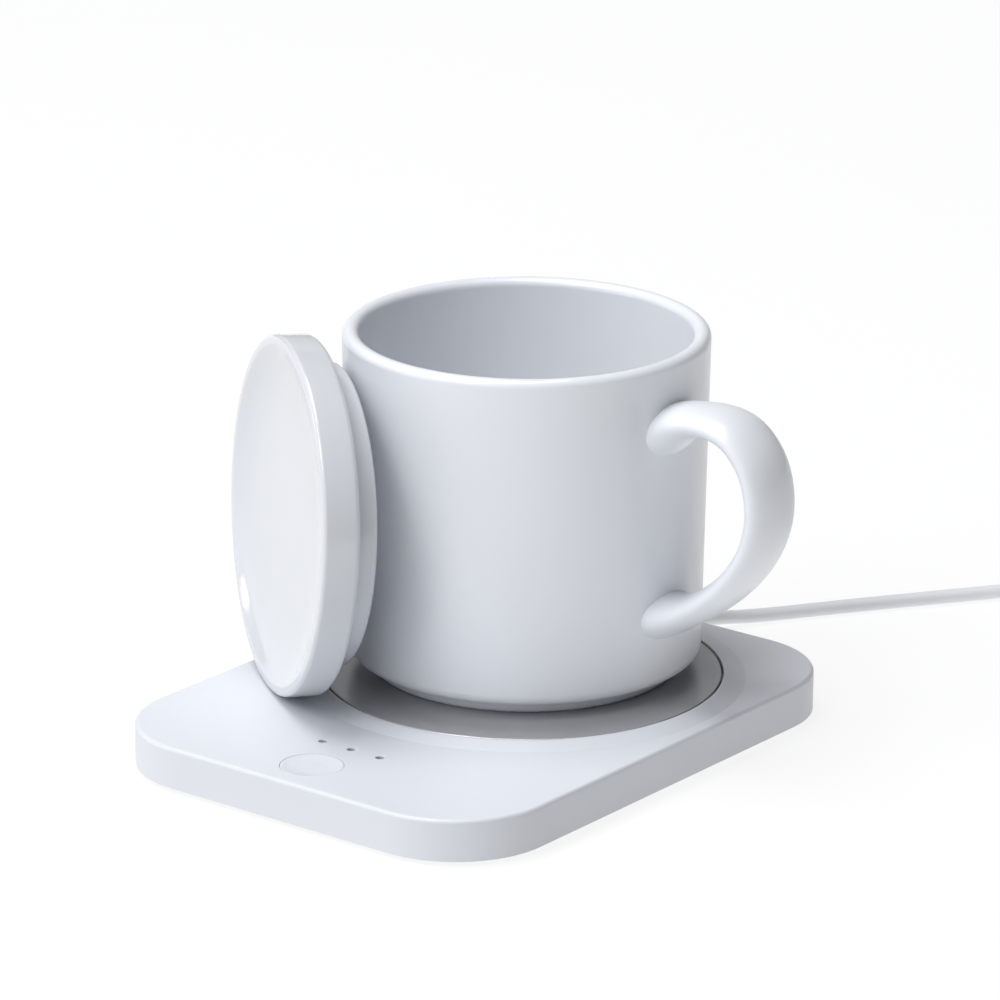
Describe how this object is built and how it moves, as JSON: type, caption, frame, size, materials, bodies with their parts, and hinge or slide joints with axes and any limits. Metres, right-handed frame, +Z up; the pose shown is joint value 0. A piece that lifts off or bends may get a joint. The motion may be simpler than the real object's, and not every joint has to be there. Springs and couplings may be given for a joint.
{
  "type": "electric mug warmer",
  "caption": "Low electric mug warmer with a round hot plate, push button and pilot lamps, holding a thick ceramic mug with its lid leaning on it.",
  "frame": {"origin": "centre of the base's outline, on the plane its feet stand on", "axes": "+Z up; -Y is the front edge with the button and lamps; +Y the rear edge with the cord; +X the side the mug's handle points to"},
  "size_m": [0.223, 0.2617, 0.0942],
  "materials": {
    "housing": "satin",
    "underside": "matte",
    "button": "satin",
    "rubber": "matte",
    "screw_steel": "satin",
    "plate": "satin",
    "gasket": "matte",
    "heater": "satin",
    "wool": "fibrous",
    "inner_steel": "satin",
    "foil": "bright",
    "sensor": "satin",
    "board": "satin",
    "chips": "matte",
    "lamp": "clear",
    "light_pipe": "smoked",
    "switch": "matte",
    "cord": "satin",
    "wire": "satin",
    "plug_metal": "bright",
    "contact": "bright",
    "tongue": "matte",
    "mug_glaze": "glossy glaze",
    "lid_glaze": "glossy glaze"
  },
  "bodies": {
    "base": {"top_cover": "housing", "bottom_cover": "underside", "rubber_feet": "rubber", "cover_screws": "screw_steel", "heating_plate": "plate", "plate_gasket": "gasket", "film_heater": "heater", "insulation_disc": "wool", "clamp_plate": "inner_steel", "clamp_screws": "screw_steel", "temperature_sensor": "sensor", "thermal_cutoff": "sensor", "heat_shield": "foil", "control_board": "board", "board_components": "chips", "board_screws": "screw_steel", "indicator_leds": "lamp", "light_pipes": "light_pipe", "tact_switch": "switch", "strain_relief": "cord", "inner_cord_end": "cord", "cord_lead": "cord", "cord_coil": "cord", "cord_tail": "cord", "cord_tie": "rubber", "plug_grip": "cord", "plug_shell": "plug_metal", "plug_tongue": "tongue", "plug_contacts": "contact", "internal_leads": "wire"},
    "button": {"button_cap": "button", "switch_plunger": "switch"},
    "mug": {"mug": "mug_glaze"},
    "lid": {"lid": "lid_glaze"}
  },
  "joints": [
    {"name": "button_press", "type": "slide", "parent": "base", "child": "button", "axis": [0, 0, -1], "range_m": [0, 0.0005], "stiffness_N_per_m": 1500, "springref_m": -0.0005},
    {"name": "mug_lift", "type": "slide", "parent": "base", "child": "mug", "axis": [0, 0, 1], "range_m": [0, 0.12]},
    {"name": "lid_lift", "type": "slide", "parent": "base", "child": "lid", "axis": [-0.3483, -0.4884, 0.8001], "range_m": [0, 0.12]}
  ]
}
